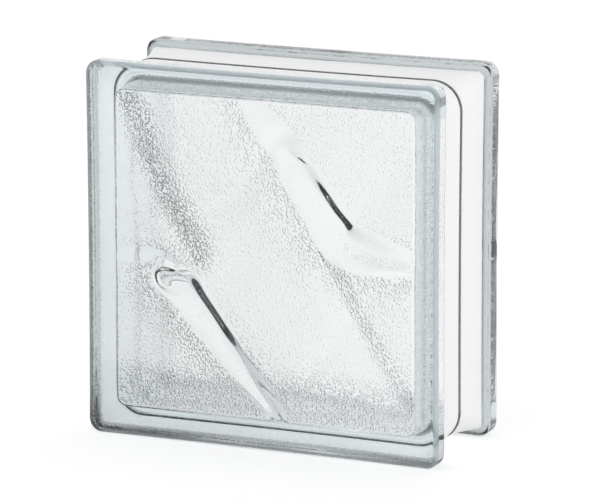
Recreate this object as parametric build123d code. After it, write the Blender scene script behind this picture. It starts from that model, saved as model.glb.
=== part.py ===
"""A hollow glass block for walls: two pressed glass trays, fused rim to rim at mid depth.

Row frame, millimetres: +X along the wall, +Y through it from the front face to the back,
+Z up. The origin is the middle of the underside, where the block stands on its lips.
"""

from build123d import *
import os
from math import cos, exp, hypot, radians, sin, sqrt

from OCP.BRepBuilderAPI import BRepBuilderAPI_MakeFace
from OCP.GeomAPI import GeomAPI_PointsToBSplineSurface
from OCP.TColgp import TColgp_Array2OfPnt

# Overall size
block_width = 190.0
block_height = 190.0
block_depth = 80.0

# The lip that frames each face and holds the mortar in the joint
lip_width = 10.0
lip_corner_radius = 7.0
face_edge_radius = 2.5
lip_back_edge_radius = 1.2

# The mortar channel behind the lips, measured inward from the lip's outer edge
channel_depth_at_lip = 3.8
channel_depth_at_seam = 4.6
channel_corner_at_lip = 5.0
channel_corner_at_seam = 15.0
channel_root_radius = 2.2

# The ridge of squeezed glass along the fused seam
seam_ridge_height = 1.0
seam_ridge_width = 3.4

# The cavity, which widens from the pane to the seam so that the plunger can leave it
pane_thickness = 7.5
wall_thickness_at_seam = 6.7
wall_thickness_at_pane = 10.2
cavity_corner_at_pane = 5.0
cavity_corner_at_seam = 10.0

# The swell pressed into the inner face of each pane, as samples of a smooth surface
swell_height = 0.5
swell_length = 74.0
swell_heading = 58.0
wave_sample_step = 3.0
surface_tolerance = 1e-6

# Two bands stand on the swell. Each edge of a band is a line of (right, up, width of its slope)
band_height = 3.0
narrowest_slope = 6.0
low_band_right = [(-64.8, -10.1, 6), (-57.0, -7.3, 8), (-47.0, -7.4, 8), (-41.0, -11.0, 8), (-36.1, -16.6, 6),
                  (-20.9, -36.7, 6), (-13.8, -46.2, 8.5), (4.6, -74.6, 7)]
low_band_left = [(-52.5, -6.4, 6), (-58.1, -8.4, 6), (-60.4, -12.7, 6), (-58.2, -18.2, 6), (-48.3, -28.5, 9),
                 (-30.9, -48.4, 11), (-18.9, -59.5, 8), (-0.3, -76.1, 6)]
high_band_right = [(-5.4, 79.8, 12), (9.6, 64.5, 9), (19.2, 53.8, 6), (24.0, 47.2, 10), (38.4, 29.9, 6),
                   (45.3, 21.5, 6), (51.2, 18.0, 10), (62.3, 14.4, 14), (79.2, 7.5, 18)]
high_band_left = [(-12.4, 80.3, 8), (5.8, 52.7, 12), (10.6, 42.1, 14), (19.6, 25.8, 17), (27.7, 15.4, 18),
                  (35.7, 9.1, 16), (49.5, 3.8, 12), (79.2, 2.5, 10)]

# A low tongue joins the low band to the left edge, and a soft fold runs in from two corners
tongue_height = 0.9
tongue_line = [(-88.0, 2.0, 3.5), (-70.0, 1.5, 3.5), (-56.0, -1.5, 3.5)]
fold_height = 1.5
fold_line = [(-82.0, 80.0, 14), (-62.0, 44.0, 14), (-41.0, 2.0, 14)]

tray_depth = block_depth / 2


def rounded_square(inset, radius, height):
    """A rounded rectangle, inset from the block's outline, at a height over the seam plane."""
    outline = RectangleRounded(block_width - 2 * inset, block_height - 2 * inset, radius)
    return Plane.XY.offset(height) * outline


def edges_at(solid, height):
    """The edges of a solid that lie flat at one height over the seam plane."""
    return solid.edges().filter_by_position(Axis.Z, height - 0.01, height + 0.01)


def lip():
    """The flat plate behind the face, as wide as the block, with its edges rounded."""
    plate = extrude(rounded_square(0, lip_corner_radius, tray_depth - lip_width), amount=lip_width)
    plate = fillet(edges_at(plate, tray_depth), face_edge_radius)
    return fillet(edges_at(plate, tray_depth - lip_width), lip_back_edge_radius)


def body():
    """The tapering side walls from the lip to the seam, still without their cavity."""
    at_lip = rounded_square(channel_depth_at_lip, channel_corner_at_lip, tray_depth - lip_width)
    at_seam = rounded_square(channel_depth_at_seam, channel_corner_at_seam, 0)
    return loft([at_seam, at_lip], ruled=True)


def seam_ridge():
    """One half of the ridge along the seam, rounded on the side away from it."""
    inset = channel_depth_at_seam - seam_ridge_height
    radius = channel_corner_at_seam + seam_ridge_height
    ring = extrude(rounded_square(inset, radius, 0), amount=seam_ridge_width / 2)
    return fillet(edges_at(ring, seam_ridge_width / 2), seam_ridge_height * 0.8)


def beside(line, right, up):
    """A place's signed distance from a line, positive on its left, and the line's width value there."""
    nearest = 1e9
    for (x0, y0, width0), (x1, y1, width1) in zip(line[:-1], line[1:]):
        length = hypot(x1 - x0, y1 - y0)
        dx = (x1 - x0) / length
        dy = (y1 - y0) / length
        along = min(max((right - x0) * dx + (up - y0) * dy, 0), length)
        off_x = right - x0 - along * dx
        off_y = up - y0 - along * dy
        distance = hypot(off_x, off_y)
        if distance < nearest:
            nearest = distance
            signed = distance if dx * off_y > dy * off_x else -distance
            width = width0 + (width1 - width0) * along / length
    return signed, width


def rise(share):
    """0 up to a share of 0 and 1 from a share of 1, with a smooth rise between."""
    t = min(max(share, 0), 1)
    return t * t * (3 - 2 * t)


def band(left, right_line, right, up):
    """How far a place is up a band, 0 to 1: a long slope inside its left edge, a short one over its right edge."""
    from_left, left_width = beside(left, right, up)
    from_right, right_width = beside(right_line, right, up)
    inner = rise(from_left / max(left_width, narrowest_slope))
    return inner * rise(0.5 - from_right / max(right_width, narrowest_slope))


def fold(right, up):
    """How high a place is on the soft fold, 0 to 1, with a blunt crest."""
    side, width = beside(fold_line, right, up)
    return max(1 - sqrt(side * side + 1) / width, 0)


def wave(right, up):
    """How much the pane's inner face stands over its plain level, seen from outside."""
    heading = radians(swell_heading)
    phase = radians(360 / swell_length) * (right * cos(heading) + up * sin(heading))
    base = swell_height * cos(phase) + fold_height * (fold(right, up) + fold(-right, -up))
    low = band(low_band_left, low_band_right, right, up)
    high = band(high_band_left, high_band_right, right, up)
    side, width = beside(tongue_line, right, up)
    tongue = tongue_height * exp(-((side / width) ** 2))
    return base + max(band_height * max(low, high), tongue)


def wave_block():
    """The space inside the tray over the wavy inner face of its pane."""
    reach = block_width / 2 - wall_thickness_at_pane + wave_sample_step
    count = round(2 * reach / wave_sample_step) + 1
    stations = [-reach + 2 * reach * i / (count - 1) for i in range(count)]
    level = tray_depth - pane_thickness
    grid = TColgp_Array2OfPnt(1, count, 1, count)
    for i, x in enumerate(stations):
        for j, y in enumerate(stations):
            grid.SetValue(i + 1, j + 1, Vector(x, y, level - wave(x, y)).to_pnt())
    surface = GeomAPI_PointsToBSplineSurface()
    surface.Interpolate(grid)
    face = Face(BRepBuilderAPI_MakeFace(surface.Surface(), surface_tolerance).Face())
    return extrude(face, amount=tray_depth, dir=(0, 0, -1))


def cavity():
    """The hollow of one tray, from the seam plane to the pane's wavy inner face."""
    seam_inset = channel_depth_at_seam + wall_thickness_at_seam
    pane_inset = wall_thickness_at_pane + channel_depth_at_lip
    at_seam = rounded_square(seam_inset, cavity_corner_at_seam, 0)
    at_pane = rounded_square(pane_inset, cavity_corner_at_pane, tray_depth - 1)
    return loft([at_seam, at_pane], ruled=True) & wave_block()


def blank():
    """The tray's outside: lip and body with the flare between them, and half of the seam's ridge."""
    joined = lip() + body()
    back_of_lip = tray_depth - lip_width
    reach = block_width / 2 - channel_depth_at_lip
    roots = [e for e in edges_at(joined, back_of_lip) if max(abs(e.center().X), abs(e.center().Y)) < reach + 0.1]
    return fillet(roots, channel_root_radius) + seam_ridge()


def tray():
    """One pressed tray, seam plane at zero height and face at the top."""
    return blank() - cavity()


def placed(shape, outward):
    """The shape stood up, its seam in the middle of the block and its face outward."""
    middle = (0, 0, block_height / 2)
    stand = Plane(origin=middle, x_dir=(-outward, 0, 0), z_dir=(0, outward, 0))
    return stand * shape


pressed = tray()
front_shell = placed(pressed, -1)
back_shell = placed(pressed, 1)

os.makedirs("parts", exist_ok=True)
export_step(front_shell, "parts/front_shell.step")
export_step(back_shell, "parts/back_shell.step")
print("volume of one tray, cm3:", round(pressed.volume / 1000, 1))
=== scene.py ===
"""Looks of the glass block: two clear pressed shells, stippled and waved inside, and a white coating."""

from math import cos, pi, radians, sin, sqrt

import bmesh
import bpy
import numpy as np
from mathutils import Matrix, Vector


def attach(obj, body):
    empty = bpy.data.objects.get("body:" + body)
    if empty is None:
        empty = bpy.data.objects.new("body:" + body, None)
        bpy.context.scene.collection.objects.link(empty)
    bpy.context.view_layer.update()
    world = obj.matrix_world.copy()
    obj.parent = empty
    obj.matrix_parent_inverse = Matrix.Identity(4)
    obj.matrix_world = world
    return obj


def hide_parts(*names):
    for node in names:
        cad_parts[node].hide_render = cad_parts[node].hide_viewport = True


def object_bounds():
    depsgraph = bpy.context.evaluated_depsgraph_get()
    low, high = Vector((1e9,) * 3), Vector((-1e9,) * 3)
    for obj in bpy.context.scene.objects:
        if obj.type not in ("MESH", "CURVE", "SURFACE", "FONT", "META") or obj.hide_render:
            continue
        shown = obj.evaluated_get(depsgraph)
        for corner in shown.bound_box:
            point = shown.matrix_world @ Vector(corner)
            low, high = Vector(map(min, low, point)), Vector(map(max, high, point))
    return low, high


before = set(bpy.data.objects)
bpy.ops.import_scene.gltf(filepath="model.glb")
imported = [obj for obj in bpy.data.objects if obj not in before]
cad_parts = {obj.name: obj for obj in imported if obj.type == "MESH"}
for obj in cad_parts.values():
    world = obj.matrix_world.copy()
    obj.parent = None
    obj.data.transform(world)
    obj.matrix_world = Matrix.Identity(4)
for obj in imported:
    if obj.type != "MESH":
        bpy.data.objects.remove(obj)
cad_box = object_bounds()

MM = 0.001

# The block's outside, in millimetres like all lengths here, from the frame. It is as wide as it is high
WIDTH, DEPTH, HEIGHT = (round((high - low) / MM, 3) for low, high in zip(*cad_box))
HALF = WIDTH / 2
SHELL_DEPTH = DEPTH / 2
MIDDLE_HEIGHT = HEIGHT / 2

# The section of a shell. Depths are measured from the seam, insets from the block's outline
LIP_WIDTH = 10.0
LIP_START = SHELL_DEPTH - LIP_WIDTH
LIP_CORNER = 7.0
FACE_EDGE = 2.5
LIP_BACK_EDGE = 1.2
LIP_BACK_FLAT = 0.2
CHANNEL_AT_LIP = 3.8
CHANNEL_AT_SEAM = 4.6
CHANNEL_CORNER_AT_LIP = 4.0
CHANNEL_CORNER_AT_SEAM = 15.0
CHANNEL_CORNER_POWER = 1.6
CHANNEL_ROOT = 2.4
ROOT_CORNER_SHARE = 0.6
RIDGE_HEIGHT = 0.6
CAVITY_AT_SEAM = 11.3
CAVITY_AT_PANE = 14.0
CAVITY_CORNER_AT_SEAM = 10.0
CAVITY_CORNER_AT_PANE = 5.0
PANE_THICKNESS = 7.5
PANE_LEVEL = SHELL_DEPTH - PANE_THICKNESS
PANE_EDGE = 1.5

# Each side is drawn in at its middle, most at the outline and not at all this far inside it
EDGE_BOW = 0.5
BOW_FULL = 4.0
BOW_NONE = 12.0

# The shells reach this far past each other at the seam, so that they render as fused
FUSE_OVERLAP = 0.02

# The white coating starts beside the seam's ridge and ends before the lip
COAT_START = 1.65
COAT_END = 27.5

# The glass is frosted from the coating's end to the lip's back, and less on the ridge and the face's edge.
# Where frosted it also turns a darker grey-blue, which is painted shade for the grey that frosted glass
# shows
FROST_END = LIP_START + 0.6
FROST_ROUGHNESS = 0.5
# The darker grey-blue of frosted glass is painted shade
FROST_PAINTED_SHADE_TONE = (0.45, 0.49, 0.515)
RIDGE_FROST = 0.3
RIDGE_FROST_END = 1.2
FACE_EDGE_FROST = 0.7
FACE_FROST_START = SHELL_DEPTH - 0.95 * FACE_EDGE
FACE_FROST_END = SHELL_DEPTH - 0.02

# Where the section has rings of points. On the ridge each has its share of the ridge's height
RIDGE_RINGS = [(-FUSE_OVERLAP, 1.0), (0.7, 1.0), (1.1, 0.9), (1.4, 0.7), (COAT_START, 0.2), (1.75, 0.02)]
CHANNEL_RINGS = [2.2, 4, 8, 12, 16, 20, 24, COAT_END]
LIP_RINGS = [33, 35]
FACE_RINGS = [0.6, 3.0]
WALL_RINGS = [-FUSE_OVERLAP, 2, 6, 10, 14, 18, 22, 26, 29, PANE_LEVEL - PANE_EDGE]
ROOT_STEPS = 6
LIP_BACK_STEPS = 5
FACE_EDGE_STEPS = 8
PANE_EDGE_STEPS = 5

# Mesh resolution: segments along a straight side and round a corner, and every how many the walls use
STRAIGHT_COUNT = 256
CORNER_COUNT = 12
SIDE_COUNT = STRAIGHT_COUNT + CORNER_COUNT
RIM_STEP = 4

# The pressed pattern of the pane's inner face, seen from outside with the middle at (0, 0)
SWELL_HEIGHT = 0.5
SWELL_LENGTH = 74.0
SWELL_HEADING = radians(58.0)

# Two smooth bands stand over the stipple. Each edge is a line of (across, up, width of its slope)
BAND_HEIGHT = 3.4
LOW_BAND_RIGHT = [(-67.6, -10.0, 13.0), (-61.0, -8.4, 13.0), (-54.3, -7.8, 13.0), (-47.7, -9.0, 13.0),
                  (-42.3, -10.8, 13.0), (-37.9, -13.7, 10.0), (-33.0, -20.6, 6.8), (-27.0, -28.4, 6.2),
                  (-22.7, -34.4, 6.6), (-18.9, -39.9, 9.0), (-16.2, -43.7, 12.0), (-12.9, -48.5, 14.0),
                  (-7.2, -55.8, 14.5), (-2.1, -62.9, 14.5), (3.3, -70.3, 14.5), (7.7, -76.5, 14.5)]
LOW_BAND_LEFT = [(-49.9, -5.1, 5.0), (-55.4, -6.4, 3.5), (-59.0, -8.8, 2.6), (-60.2, -12.2, 2.4),
                 (-59.1, -16.7, 2.5), (-56.1, -20.5, 4.0), (-47.3, -27.0, 9.0), (-37.8, -37.1, 11.0),
                 (-22.5, -53.3, 11.0), (-9.7, -66.0, 7.0), (-0.8, -73.8, 4.0), (2.2, -77.6, 4.0)]
HIGH_BAND_RIGHT = [(-5.9, 80.0, 16.0), (-2.7, 76.2, 16.0), (7.3, 67.8, 16.0), (15.0, 59.7, 15.0),
                   (19.0, 53.7, 12.0), (24.0, 46.5, 12.0), (27.2, 43.1, 10.0), (32.6, 36.8, 7.6),
                   (38.9, 29.1, 5.8), (43.7, 24.1, 5.4), (46.1, 21.5, 8.0), (49.0, 19.3, 13.0),
                   (62.8, 14.0, 16.0), (79.2, 7.0, 18.0)]
HIGH_BAND_LEFT = [(-13.4, 82.4, 12.0), (-10.7, 77.6, 12.0), (-3.8, 64.7, 14.0), (5.0, 54.2, 14.0),
                  (14.9, 36.3, 16.0), (22.9, 23.5, 17.0), (29.3, 11.6, 17.0), (35.8, 4.1, 16.0),
                  (45.1, 0.5, 14.0), (56.0, -0.5, 12.0), (79.2, 0.6, 10.0)]

# Across the high band the lower leaf steps up from the strip above it
NOTCH = [(-7.0, 62.5, 12.0), (5.6, 59.2, 10.0), (13.4, 56.4, 4.5), (19.6, 53.2, 2.6), (26.2, 49.7, 2.6)]
STRIP_SHARE = 0.55

# A low tongue joins the low band to the left edge
TONGUE = [(-77.5, -2.5, 4.0), (-70.3, -2.4, 4.0), (-60.9, -1.5, 3.6), (-53.2, -3.4, 2.8), (-48.8, -6.0, 2.2)]
TONGUE_HEIGHT = 1.3

# A soft fold runs down from the upper left corner, and one to the lower right corner
FOLD = [(-82.1, 82.8, 14.0), (-78.9, 76.5, 14.0), (-74.0, 67.8, 14.0), (-66.5, 48.2, 12.0),
        (-56.2, 26.3, 12.0), (-41.1, 3.3, 14.0)]
LOW_FOLD = [(35.2, -1.4, 14.0), (45.4, -21.1, 14.0), (57.6, -41.5, 14.0), (69.9, -59.9, 14.0),
            (80.6, -72.4, 14.0)]
FOLD_HEIGHT = 1.5
FOLD_STEEPENING = 0.6

# The waves die away down the wall over this depth
WAVE_FADE = 8.0

# How much stipple there is: faint over most of the pane, stronger by the bands, the folds and the low edge
FAINT_STIPPLE = 0.3
BY_LOW_BAND = 0.9
BY_HIGH_BAND = 0.5
BY_FOLD = 2.0
BY_LOW_FOLD = 0.3
AT_LOW_EDGE = 0.7
LIP_STIPPLE = 0.35
WALL_STIPPLE = 0.15

# How far that strong stipple reaches, and where the smooth bands and the tongue wipe it off
BAND_STIPPLE_REACH = 14.0
FOLD_STIPPLE_REACH = 7.5
FOLD_STIPPLE_SHIFT = 5.0
LOW_EDGE_START = -50.0
LOW_EDGE_FULL = -66.0
WIPED_MARGIN = 3.0
TONGUE_WIPED_START = 0.2
TONGUE_WIPED_FULL = 0.5

# The stipple's noise, in turns to the metre. Its peaks are the dots, and its faint part is a soft leather
GRAIN_SCALE = 900.0
GRAIN_DETAIL = 1.5
DOTS_START = 0.44
DOTS_FULL = 0.72
LEATHER = 0.8
GRAIN_DEPTH = 0.45

# Glass and coating
GLASS_IOR = 1.52
GLASS_TINT = (0.66, 0.86, 0.92)
GLASS_TINT_DENSITY = 5.0
COATING_COLOUR = (0.96, 0.965, 0.965)
COATING_ROUGHNESS = 0.55
# The coating's painted glow, an emission that stands in for daylight coming through the thin coat
COATING_PAINTED_GLOW = 0.23
WHITE = (1, 1, 1, 1)

# The room as the glass sees it: (place, brightness), from 0 behind the camera to 1 behind the block
ROOM = [(0.03, 0.65), (0.2, 1.3), (0.36, 0.22), (0.64, 0.22), (0.8, 1.15), (0.9, 0.84), (0.945, 0.93),
        (0.985, 0.99)]
ROOM_LEFT = 1.12
ROOM_RIGHT = 1.2

# It darkens to the ceiling between these heights of the line of sight, 1 being straight up
ROOM_CEILING = 0.35
CEILING_START = 0.15
CEILING_FULL = 0.85

# The light on all that isn't glass, level and from straight above
LIGHT_LEVEL = 1.6
LIGHT_TOP = 0.45

# The floor reaches this far, in metres. The sweep is the floor as glass sees it, in part by its own glow
FLOOR_REACH = 6.0
FLOOR_COLOUR = 0.8
FLOOR_GLOW = 0.5
SWEEP_GLOW = 0.6

# A patch of painted shade on the floor by the block, in metres, which only glass sees. It stands for the
# studio's dark side and the shade near the block
PAINTED_SHADE_PLACE = (-0.12, -0.08, 0.0)
PAINTED_SHADE_RADIUS = 0.07
PAINTED_SHADE_EDGE_RADIUS = 0.12
PAINTED_SHADE_TONE = 0.05

# The camera, as it was fitted to the block's outline in the photograph
CAMERA_AZIMUTH = radians(24.105)
CAMERA_ELEVATION = radians(12.506)
CAMERA_ROLL = radians(-0.078)
CAMERA_DISTANCE = 2298.83 * MM
CAMERA_TARGET = Vector((4.042, 0, 93.689)) * MM
CAMERA_FOCAL_PIXELS = 4613.7
FRAME_WIDTH_PIXELS = 600
SENSOR_WIDTH = 36.0

# Material slots of a shell's mesh
BARE = 0
COATED = 1


def smoothstep(low, high, value):
    """0 below low, 1 above high, and a smooth rise between."""
    t = np.clip((value - low) / (high - low), 0.0, 1.0)
    return t * t * (3 - 2 * t)


# Rounded squares, and the grid that fills one


def along_side(index):
    """Where a grid index is: along the straight part, -1 to 1, into a corner, 0 to 1, and on which side."""
    c = CORNER_COUNT / 2
    low = np.clip((c - index) / c, 0, 1)
    high = np.clip((index - (c + STRAIGHT_COUNT)) / c, 0, 1)
    straight = np.clip((index - c) / STRAIGHT_COUNT, 0, 1) * 2 - 1
    return straight, high + low, np.where(index < SIDE_COUNT / 2, -1.0, 1.0)


def plan(i, j, half, corner):
    """The place of grid point (i, j) in a rounded square, with the corner cells bent into quarter discs."""
    straight_x, out_x, sign_x = along_side(np.asarray(i, float))
    straight_z, out_z, sign_z = along_side(np.asarray(j, float))
    reach = np.maximum(out_x, out_z)
    safe = np.where(reach > 0, reach, 1.0)
    low_angle = pi / 4 * out_z / safe
    high_angle = pi / 2 - pi / 4 * out_x / safe
    angle = np.where(out_x >= out_z, low_angle, high_angle)
    both = (out_x > 0) & (out_z > 0)
    bend_x = np.where(both, reach * np.cos(angle), out_x)
    bend_z = np.where(both, reach * np.sin(angle), out_z)
    core = half - corner
    return straight_x * core + sign_x * bend_x * corner, straight_z * core + sign_z * bend_z * corner


def rim_indices():
    """The grid indices round the edge of the grid, in order."""
    n = SIDE_COUNT
    up = np.arange(n)
    i = np.concatenate([up, np.full(n, n), n - up, np.zeros(n, int)])
    j = np.concatenate([np.zeros(n, int), up, np.full(n, n), n - up])
    return i, j


def kept_on_rim():
    """Which points of the grid's edge the walls use: every one at a corner, fewer along a side."""
    half = CORNER_COUNT // 2
    on_side = [k for k in range(SIDE_COUNT)
               if k < half or k >= SIDE_COUNT - half or (k - half) % RIM_STEP == 0]
    return np.array([side * SIDE_COUNT + k for side in range(4) for k in on_side])


RIM_I, RIM_J = rim_indices()
KEPT = kept_on_rim()


def ring(half, corner, full=False):
    """The points of one rounded square, as two arrays."""
    if full:
        return plan(RIM_I, RIM_J, half, corner)
    return plan(RIM_I[KEPT], RIM_J[KEPT], half, corner)


# The pattern of the pane


def smooth_line(points, parts=6):
    """More points along a smooth curve through the given ones."""
    p = np.array(points, float)
    p = np.vstack([2 * p[0] - p[1], p, 2 * p[-1] - p[-2]])
    out = []
    for a, b, c, d in zip(p[:-3], p[1:-2], p[2:-1], p[3:]):
        for t in np.arange(parts) / parts:
            out.append(0.5 * (2 * b + (c - a) * t + (2 * a - 5 * b + 4 * c - d) * t ** 2
                              + (3 * b - a - 3 * c + d) * t ** 3))
    out.append(p[-2])
    return np.array(out)


def beside_line(line, x, z):
    """Each place's distance from a line, positive on the left of its run, and the line's width there."""
    best = np.full(x.shape, np.inf)
    side = np.zeros(x.shape)
    width = np.ones(x.shape)
    for (x0, z0, w0), (x1, z1, w1) in zip(line[:-1], line[1:]):
        length = sqrt((x1 - x0) ** 2 + (z1 - z0) ** 2)
        dx = (x1 - x0) / length
        dz = (z1 - z0) / length
        t = np.clip((x - x0) * dx + (z - z0) * dz, 0, length)
        off_x = x - x0 - t * dx
        off_z = z - z0 - t * dz
        distance = np.hypot(off_x, off_z)
        nearer = distance < best
        best = np.where(nearer, distance, best)
        side = np.where(nearer, np.sign(dx * off_z - dz * off_x) * distance, side)
        width = np.where(nearer, w0 + (w1 - w0) * t / length, width)
    return side, width


def band(left, right, x, z):
    """How far a place is up a band, how clean it is of stipple, and how near the left edge is, 0 to 1."""
    from_left, left_width = beside_line(smooth_line(left), x, z)
    from_right, right_width = beside_line(smooth_line(right), x, z)
    climb = smoothstep(0, 1, from_left / left_width) * smoothstep(-0.5, 0.5, -from_right / right_width)
    clear_left = smoothstep(-WIPED_MARGIN, 0, from_left)
    clear_right = smoothstep(-2 * WIPED_MARGIN, -WIPED_MARGIN, -from_right)
    return climb, clear_left * clear_right, np.exp(-(from_left / BAND_STIPPLE_REACH) ** 2)


def fold(line, x, z):
    """How high a place is on a soft fold, steeper on the left of its run, and how near its stipple is."""
    side, width = beside_line(line, x, z)
    width = width * np.where(side > 0, FOLD_STEEPENING, 1.0)
    near = np.exp(-((side - FOLD_STIPPLE_SHIFT) / FOLD_STIPPLE_REACH) ** 2)
    return np.maximum(1 - np.sqrt(side ** 2 + 1) / width, 0), near


def pattern(x, z):
    """Height of the pane's inner face over its plain level, and how much stipple it has."""
    swell = 2 * pi / SWELL_LENGTH * (x * cos(SWELL_HEADING) + z * sin(SWELL_HEADING))
    low, low_wiped, by_low = band(LOW_BAND_LEFT, LOW_BAND_RIGHT, x, z)
    high, high_wiped, by_high = band(HIGH_BAND_LEFT, HIGH_BAND_RIGHT, x, z)
    notch_side, notch_width = beside_line(NOTCH, x, z)
    leaf = smoothstep(-0.5, 0.5, -notch_side / notch_width)
    high = high * (STRIP_SHARE + (1 - STRIP_SHARE) * leaf)
    left_fold, by_left_fold = fold(FOLD, x, z)
    right_fold, by_right_fold = fold(LOW_FOLD, x, z)
    tongue_side, tongue_width = beside_line(TONGUE, x, z)
    tongue = np.exp(-(tongue_side / tongue_width) ** 2)

    height = SWELL_HEIGHT * np.cos(swell) + FOLD_HEIGHT * (left_fold + right_fold)
    height = height + np.maximum(BAND_HEIGHT * np.maximum(low, high), TONGUE_HEIGHT * tongue)

    on_tongue = smoothstep(TONGUE_WIPED_START, TONGUE_WIPED_FULL, tongue)
    wiped = np.maximum.reduce([low_wiped, high_wiped, on_tongue])
    by_low_edge = smoothstep(LOW_EDGE_START, LOW_EDGE_FULL, z)
    strong = np.maximum.reduce([BY_LOW_BAND * by_low, BY_HIGH_BAND * by_high, BY_FOLD * by_left_fold,
                                BY_LOW_FOLD * by_right_fold, AT_LOW_EDGE * by_low_edge])
    return height, (1 - wiped) * (FAINT_STIPPLE + (1 - FAINT_STIPPLE) * strong)


# The section of a shell, as rings of (inset, corner radius, depth)


def quarter(steps, first=0):
    """Sine and cosine at even steps of a quarter turn."""
    return [(sin(pi / 2 * k / steps), cos(pi / 2 * k / steps)) for k in range(first, steps + 1)]


def channel(depth):
    """Inset and corner radius of the mortar channel's floor."""
    t = max(depth, 0) / LIP_START
    inset = CHANNEL_AT_SEAM + (CHANNEL_AT_LIP - CHANNEL_AT_SEAM) * t
    turn = t ** CHANNEL_CORNER_POWER
    return inset, CHANNEL_CORNER_AT_SEAM + (CHANNEL_CORNER_AT_LIP - CHANNEL_CORNER_AT_SEAM) * turn


def outer_section():
    """Rings from the seam plane out over the ridge, up the channel and round the lip to the face."""
    inset, corner = channel(0)
    rings = []
    for depth, share in RIDGE_RINGS:
        rise = RIDGE_HEIGHT * share
        rings.append((inset - rise, corner + rise, depth))
    rings += [(*channel(depth), depth) for depth in CHANNEL_RINGS]
    inset, corner = channel(LIP_START)
    for sine, cosine in quarter(ROOT_STEPS, 1):
        out = CHANNEL_ROOT * (1 - cosine)
        rings.append((inset - out, corner - out * ROOT_CORNER_SHARE, LIP_START - CHANNEL_ROOT * (1 - sine)))
    rings.append((LIP_BACK_EDGE + LIP_BACK_FLAT, LIP_CORNER - LIP_BACK_EDGE, LIP_START))
    for sine, cosine in quarter(LIP_BACK_STEPS):
        inset = LIP_BACK_EDGE * (1 - sine)
        rings.append((inset, LIP_CORNER - inset, LIP_START + LIP_BACK_EDGE * (1 - cosine)))
    rings += [(0, LIP_CORNER, depth) for depth in LIP_RINGS]
    for sine, cosine in quarter(FACE_EDGE_STEPS):
        inset = FACE_EDGE * (1 - cosine)
        rings.append((inset, LIP_CORNER - inset, SHELL_DEPTH - FACE_EDGE * (1 - sine)))
    return rings + [(FACE_EDGE + more, LIP_CORNER - FACE_EDGE, SHELL_DEPTH) for more in FACE_RINGS]


def inner_section():
    """Rings from the seam plane in along the cavity's wall to the edge of the pane's inner face."""
    rings = []
    for depth in WALL_RINGS:
        t = max(depth, 0) / PANE_LEVEL
        inset = CAVITY_AT_SEAM + (CAVITY_AT_PANE - CAVITY_AT_SEAM) * t
        corner = CAVITY_CORNER_AT_SEAM + (CAVITY_CORNER_AT_PANE - CAVITY_CORNER_AT_SEAM) * t
        rings.append((inset, corner, depth))
    for sine, cosine in quarter(PANE_EDGE_STEPS, 1):
        more = PANE_EDGE * (1 - cosine)
        rings.append((inset + more, corner - more, depth + PANE_EDGE * sine))
    return rings


def frost_and_shade_at(depth):
    """How frosted the outside of a shell is, 0 to 1, which also sets how much painted shade its glass has.
    """
    if depth < RIDGE_FROST_END:
        return RIDGE_FROST
    if FACE_FROST_START < depth < FACE_FROST_END:
        return FACE_EDGE_FROST
    return float(COAT_END < depth < FROST_END)


def bowed(x, z):
    """The outline drawn in a little at the middle of each side, as pressed glass cools."""
    pull = EDGE_BOW * smoothstep(HALF - BOW_NONE, HALF - BOW_FULL, np.maximum(np.abs(x), np.abs(z)))
    on_x = np.abs(x) > np.abs(z)
    bow_x = np.where(on_x, pull * (1 - (z / HALF) ** 2), 0)
    bow_z = np.where(on_x, 0, pull * (1 - (x / HALF) ** 2))
    return x - np.sign(x) * bow_x, z - np.sign(z) * bow_z


# The mesh of a shell


class Points:
    """The points of a mesh, gathered run by run: across, up, depth, stipple, and how frosted and painted in
    shade they are.
    """

    def __init__(self):
        self.runs = []
        self.count = 0

    def add(self, x, z, depth, stipple, frost_and_shade=0.0):
        """Add a run of points and give their numbers."""
        run = [np.broadcast_to(part, x.shape) for part in (x, z, depth, stipple, frost_and_shade)]
        self.runs.append(np.stack(run))
        self.count += len(x)
        return np.arange(self.count - len(x), self.count)

    def columns(self):
        """All the points' values, one array for each kind."""
        return np.concatenate(self.runs, axis=1)


def quads_between(a, b):
    """Faces between two rings of points."""
    return np.stack([a, np.roll(a, -1), np.roll(b, -1), b], axis=1).tolist()


def outside(points):
    """The faces of the ridge, channel, lip and face, with their slots, and the ring at the seam."""
    rings = []
    for inset, corner, depth in outer_section():
        x, z = ring(HALF - inset, corner)
        stipple = LIP_STIPPLE * (COAT_END < depth < FROST_END)
        rings.append((points.add(x, z, depth, stipple, frost_and_shade_at(depth)), depth))
    faces = []
    slots = []
    for (a, start), (b, end) in zip(rings[:-1], rings[1:]):
        faces += quads_between(a, b)
        coated = start >= COAT_START and end <= COAT_END
        slots += [COATED if coated else BARE] * len(a)
    faces.append(rings[-1][0].tolist())
    slots.append(BARE)
    return faces, slots, rings[0][0]


def wall(points):
    """The faces of the cavity's wall, and its rings at the seam and at the pane."""
    rings = []
    for inset, corner, depth in inner_section()[:-1]:
        x, z = ring(HALF - inset, corner)
        height, _ = pattern(x, z)
        follow = smoothstep(PANE_LEVEL - WAVE_FADE, PANE_LEVEL - PANE_EDGE, depth)
        rings.append(points.add(x, z, depth - follow * height, WALL_STIPPLE))
    faces = []
    for a, b in zip(rings[:-1], rings[1:]):
        faces += quads_between(b, a)
    return faces, rings[0], rings[-1]


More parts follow.
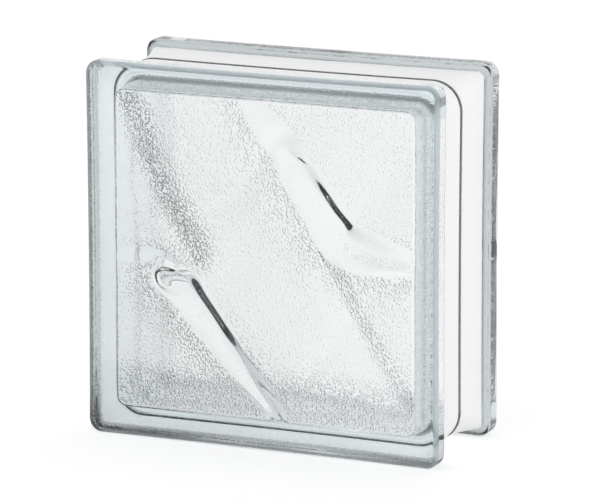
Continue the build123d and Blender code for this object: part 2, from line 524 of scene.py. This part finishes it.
def pane(points, wall_end):
    """The faces of the pane's inner side. Its rim is finer than the wall's last ring and is joined to it."""
    inset, corner, depth = inner_section()[-1]
    x, z = ring(HALF - inset, corner, full=True)
    height, _ = pattern(x, z)
    rim = points.add(x, z, depth - height, 0.0)
    faces = []
    for k, first in enumerate(KEPT):
        stop = KEPT[k + 1] if k + 1 < len(KEPT) else len(rim)
        along = [int(rim[m % len(rim)]) for m in range(first, stop + 1)]
        faces.append([int(wall_end[(k + 1) % len(wall_end)]), int(wall_end[k])] + along)

    n = SIDE_COUNT
    i, j = np.meshgrid(np.arange(1, n), np.arange(1, n), indexing="ij")
    x, z = plan(i.ravel(), j.ravel(), HALF - inset, corner)
    height, stipple = pattern(x, z)
    table = np.zeros((n + 1, n + 1), int)
    table[1:n, 1:n] = points.add(x, z, depth - height, stipple).reshape(n - 1, n - 1)
    table[RIM_I, RIM_J] = rim
    quads = np.stack([table[:-1, :-1], table[:-1, 1:], table[1:, 1:], table[1:, :-1]], axis=-1)
    return faces + quads.reshape(-1, 4).tolist()


def face_outward(mesh):
    """Turn every face of a closed mesh outward."""
    bm = bmesh.new()
    bm.from_mesh(mesh)
    bmesh.ops.recalc_face_normals(bm, faces=bm.faces)
    if bm.calc_volume(signed=True) < 0:
        bmesh.ops.reverse_faces(bm, faces=bm.faces)
    bm.to_mesh(mesh)
    bm.free()


def shell_mesh(name, outward):
    """One closed shell. outward is -1 for the front shell and 1 for the back one."""
    points = Points()
    faces, slots, outer_seam = outside(points)
    wall_faces, inner_seam, wall_end = wall(points)
    faces += wall_faces + quads_between(inner_seam, outer_seam) + pane(points, wall_end)
    slots += [BARE] * (len(faces) - len(slots))

    x, z, depth, stipple, frost_and_shade = points.columns()
    x, z = bowed(x, z)
    places = np.stack([-outward * x, outward * depth, z + MIDDLE_HEIGHT], axis=1) * MM
    mesh = bpy.data.meshes.new(name)
    mesh.from_pydata(places.tolist(), [], faces)
    mesh.polygons.foreach_set("material_index", slots)
    mesh.polygons.foreach_set("use_smooth", [True] * len(faces))
    mesh.update()
    face_outward(mesh)
    for title, values in (("stipple", stipple), ("frost_and_shade", frost_and_shade)):
        attribute = mesh.attributes.new(title, "FLOAT", "POINT")
        attribute.data.foreach_set("value", values.astype(np.float32))
    piece = bpy.data.objects.new(name, mesh)
    bpy.context.collection.objects.link(piece)
    return piece


# Nodes


def node(tree, kind, x, y, inputs=None, **settings):
    """A new node at (x, y). Each of its inputs is given a number or colour, or another node's socket."""
    made = tree.nodes.new(kind)
    made.location = (x, y)
    for key, value in settings.items():
        setattr(made, key, value)
    for key, value in (inputs or {}).items():
        if isinstance(value, bpy.types.NodeSocket):
            tree.links.new(value, made.inputs[key])
        else:
            made.inputs[key].default_value = value
    return made


def arithmetic(tree, operation, x, y, *values):
    """The result of one step of arithmetic on sockets and numbers."""
    return node(tree, "ShaderNodeMath", x, y, dict(enumerate(values)), operation=operation).outputs[0]


def mapped(tree, value, source, target, x, y, interpolation="LINEAR"):
    """A value carried over from one range to another."""
    inputs = {"Value": value, "From Min": source[0], "From Max": source[1],
              "To Min": target[0], "To Max": target[1]}
    return node(tree, "ShaderNodeMapRange", x, y, inputs, interpolation_type=interpolation).outputs["Result"]


def mixed(tree, factor, low, high, x, y):
    """low where the factor is 0, high where it is 1."""
    inputs = {"Factor": factor, "A": low, "B": high}
    return node(tree, "ShaderNodeMix", x, y, inputs, data_type="FLOAT").outputs["Result"]


def empty_material(name):
    """A new material and its empty node tree."""
    material = bpy.data.materials.new(name)
    material.use_nodes = True
    material.node_tree.nodes.clear()
    return material, material.node_tree


# Materials


def grain_height(tree):
    """The stipple's height: dots by its amount, and over them a soft leather where there is little."""
    place = node(tree, "ShaderNodeTexCoord", -900, 0).outputs["Object"]
    noise_inputs = {"Vector": place, "Scale": GRAIN_SCALE, "Detail": GRAIN_DETAIL}
    grain = node(tree, "ShaderNodeTexNoise", -600, 100, noise_inputs).outputs["Fac"]
    amount = node(tree, "ShaderNodeAttribute", -600, -200, attribute_name="stipple").outputs["Fac"]
    dots = mapped(tree, grain, (DOTS_START, DOTS_FULL), (0.0, 1.0), -450, 100, "SMOOTHSTEP")
    strong = arithmetic(tree, "MULTIPLY", -300, 0, dots, amount)
    centred = arithmetic(tree, "SUBTRACT", -450, -100, grain, 0.5)
    little = arithmetic(tree, "MINIMUM", -450, -300, amount, FAINT_STIPPLE)
    faint = arithmetic(tree, "MULTIPLY", -300, -200, centred, little)
    return arithmetic(tree, "MULTIPLY_ADD", 0, -200, faint, LEATHER, strong)


def clear_glass():
    """Clear pressed glass: a faint blue-green over depth, stipple where the mould had it, and frosted haze
    with a painted shade of darker grey-blue.
    """
    material, tree = empty_material("clear_glass")
    frost_and_shade = node(tree, "ShaderNodeAttribute", -600, 500, attribute_name="frost_and_shade").outputs["Fac"]
    # Frosted glass is mixed toward a darker grey-blue, which is painted shade
    frost_painted_shade_inputs = {"Factor": frost_and_shade, "A": WHITE, "B": (*FROST_PAINTED_SHADE_TONE, 1)}
    frost_painted_shade = node(tree, "ShaderNodeMix", 200, 500, frost_painted_shade_inputs, data_type="RGBA").outputs["Result"]
    haze = arithmetic(tree, "MULTIPLY", 200, 200, frost_and_shade, FROST_ROUGHNESS)
    bump_inputs = {"Height": grain_height(tree), "Strength": 1.0, "Distance": GRAIN_DEPTH * MM}
    bump = node(tree, "ShaderNodeBump", 200, -200, bump_inputs).outputs["Normal"]
    glass_inputs = {"Base Color": frost_painted_shade, "Roughness": haze, "Normal": bump, "IOR": GLASS_IOR,
                    "Transmission Weight": 1.0}
    glass = node(tree, "ShaderNodeBsdfPrincipled", 600, 0, glass_inputs).outputs["BSDF"]
    tint_inputs = {"Color": (*GLASS_TINT, 1), "Density": GLASS_TINT_DENSITY}
    tint = node(tree, "ShaderNodeVolumeAbsorption", 600, -500, tint_inputs).outputs["Volume"]
    node(tree, "ShaderNodeOutputMaterial", 900, 0, {"Surface": glass, "Volume": tint})
    return material


def edge_coating():
    """White matt coating on the channel walls, with a painted glow: it gives off a faint light of its own
    that stands in for daylight coming through a thin coat.
    """
    material, tree = empty_material("edge_coating")
    paint_inputs = {"Base Color": (*COATING_COLOUR, 1), "Roughness": COATING_ROUGHNESS,
                    "Emission Color": WHITE, "Emission Strength": COATING_PAINTED_GLOW}
    paint = node(tree, "ShaderNodeBsdfPrincipled", 600, 0, paint_inputs).outputs["BSDF"]
    node(tree, "ShaderNodeOutputMaterial", 900, 0, {"Surface": paint})
    return material


glass = clear_glass()
coating = edge_coating()
for name, outward in (("front_shell", -1), ("back_shell", 1)):
    shell = shell_mesh("pressed_" + name, outward)
    shell.data.materials.append(glass)
    shell.data.materials.append(coating)
    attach(shell, "root")
    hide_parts(name)


# Floor and light


def direction_parts(tree, vector, x, y):
    """The three parts of a direction, X, Y and Z, at a length of 1."""
    unit = node(tree, "ShaderNodeVectorMath", x, y, {0: vector}, operation="NORMALIZE").outputs[0]
    return node(tree, "ShaderNodeSeparateXYZ", x + 150, y, {0: unit}).outputs


def room_brightness(tree, direction, x, y):
    """How bright the room is in a direction: pale behind the block, with lamps half way to its sides."""
    backward = mapped(tree, direction["Y"], (-1.0, 1.0), (0.0, 1.0), x + 300, y)
    ramp = node(tree, "ShaderNodeValToRGB", x + 450, y, {"Fac": backward})
    elements = ramp.color_ramp.elements
    for place, value in ROOM:
        elements.new(place).color = (value, value, value, 1)
    elements.remove(elements[-1])
    elements.remove(elements[0])
    height = (CEILING_START, CEILING_FULL)
    ceiling = mapped(tree, direction["Z"], height, (1.0, ROOM_CEILING), x + 300, y + 200, "SMOOTHSTEP")
    sides = mapped(tree, direction["X"], (-1.0, 1.0), (ROOM_LEFT, ROOM_RIGHT), x + 300, y - 200)
    both = arithmetic(tree, "MULTIPLY", x + 750, y, ramp.outputs["Color"], ceiling)
    return arithmetic(tree, "MULTIPLY", x + 900, y, both, sides)


def rays_of(tree, x, y):
    """Whether a ray comes straight from the camera, and whether a gloss or a glass has turned it."""
    rays = node(tree, "ShaderNodeLightPath", x, y).outputs
    turned = arithmetic(tree, "MAXIMUM", x + 300, y, rays["Is Glossy Ray"], rays["Is Transmission Ray"])
    return rays["Is Camera Ray"], turned


def painted_floor_shade(tree, place):
    """How much of the room's light the painted shade on the floor leaves at a place."""
    away_inputs = {0: place, 1: PAINTED_SHADE_PLACE}
    away = node(tree, "ShaderNodeVectorMath", -700, -700, away_inputs, operation="DISTANCE").outputs["Value"]
    return mapped(tree, away, (PAINTED_SHADE_RADIUS, PAINTED_SHADE_EDGE_RADIUS), (PAINTED_SHADE_TONE, 1.0), -500, -700, "SMOOTHSTEP")


def floor_material():
    """Pale and matt, and white to the camera. Glass sees the room in its place, with a patch of painted
    shade on it.
    """
    material, tree = empty_material("pale_floor")
    place = node(tree, "ShaderNodeTexCoord", -900, 0).outputs["Object"]
    by_camera, by_glass = rays_of(tree, -900, -400)
    room = room_brightness(tree, direction_parts(tree, place, -700, 0), -700, 0)
    # The room on the floor as glass sees it, darkened by the painted shade
    sweep = arithmetic(tree, "MULTIPLY", -200, -600, painted_floor_shade(tree, place), room)
    sweep_colour = arithmetic(tree, "MULTIPLY", 0, 100, sweep, 1 - SWEEP_GLOW)
    sweep_glow = arithmetic(tree, "MULTIPLY", 0, -200, sweep, SWEEP_GLOW)
    colour = mixed(tree, by_glass, FLOOR_COLOUR, sweep_colour, 250, 100)
    lift = mixed(tree, by_camera, 0.0, FLOOR_GLOW, 0, -400)
    strength = mixed(tree, by_glass, lift, sweep_glow, 250, -200)
    matt = node(tree, "ShaderNodeBsdfDiffuse", 500, 100, {"Color": colour}).outputs[0]
    glow = node(tree, "ShaderNodeEmission", 500, -100, {"Strength": strength}).outputs[0]
    both = node(tree, "ShaderNodeAddShader", 700, 0, {0: matt, 1: glow}).outputs[0]
    node(tree, "ShaderNodeOutputMaterial", 900, 0, {"Surface": both})
    return material


def floor():
    """A wide pale floor that keeps the block's soft shadow."""
    mesh = bpy.data.meshes.new("floor")
    reach = FLOOR_REACH
    corners = [(-reach, -reach, 0), (reach, -reach, 0), (reach, reach, 0), (-reach, reach, 0)]
    mesh.from_pydata(corners, [], [(0, 1, 2, 3)])
    mesh.materials.append(floor_material())
    piece = bpy.data.objects.new("floor", mesh)
    bpy.context.collection.objects.link(piece)


def studio():
    """Soft light from all round, weaker from above, and white to the camera. Glass sees the room."""
    world = bpy.data.worlds.new("studio")
    bpy.context.scene.world = world
    world.use_nodes = True
    tree = world.node_tree
    tree.nodes.clear()
    place = node(tree, "ShaderNodeTexCoord", -900, 0).outputs["Generated"]
    by_camera, by_glass = rays_of(tree, -900, -400)
    direction = direction_parts(tree, place, -700, 0)
    room = room_brightness(tree, direction, -700, 0)
    light = mixed(tree, direction["Z"], LIGHT_LEVEL, LIGHT_TOP, -200, 300)
    turned = mixed(tree, by_glass, light, room, 250, 0)
    shown = mixed(tree, by_camera, turned, 1.0, 450, 0)
    sky = node(tree, "ShaderNodeBackground", 700, 0, {"Strength": shown}).outputs[0]
    node(tree, "ShaderNodeOutputWorld", 900, 0, {"Surface": sky})


# Camera


def camera():
    """A long lens, looking down a little from the right."""
    a, e = CAMERA_AZIMUTH, CAMERA_ELEVATION
    back = Vector((sin(a) * cos(e), -cos(a) * cos(e), sin(e)))
    right = Vector((cos(a), sin(a), 0))
    up = back.cross(right)
    rolled_right = right * cos(CAMERA_ROLL) + up * sin(CAMERA_ROLL)
    rolled_up = up * cos(CAMERA_ROLL) - right * sin(CAMERA_ROLL)
    data = bpy.data.cameras.new("camera")
    data.sensor_fit = "HORIZONTAL"
    data.sensor_width = SENSOR_WIDTH
    data.lens = CAMERA_FOCAL_PIXELS / FRAME_WIDTH_PIXELS * SENSOR_WIDTH
    view = bpy.data.objects.new("camera", data)
    bpy.context.collection.objects.link(view)
    turn = Matrix((rolled_right, rolled_up, back)).transposed().to_4x4()
    view.matrix_world = Matrix.Translation(CAMERA_TARGET + back * CAMERA_DISTANCE) @ turn
    bpy.context.scene.camera = view


floor()
studio()
camera()

# Light is turned many times in the glass before it leaves, and none of that is blurred
scene = bpy.context.scene
scene.view_settings.view_transform = "Standard"
scene.cycles.max_bounces = 32
scene.cycles.diffuse_bounces = 16
scene.cycles.transmission_bounces = 24
scene.cycles.blur_glossy = 0.0
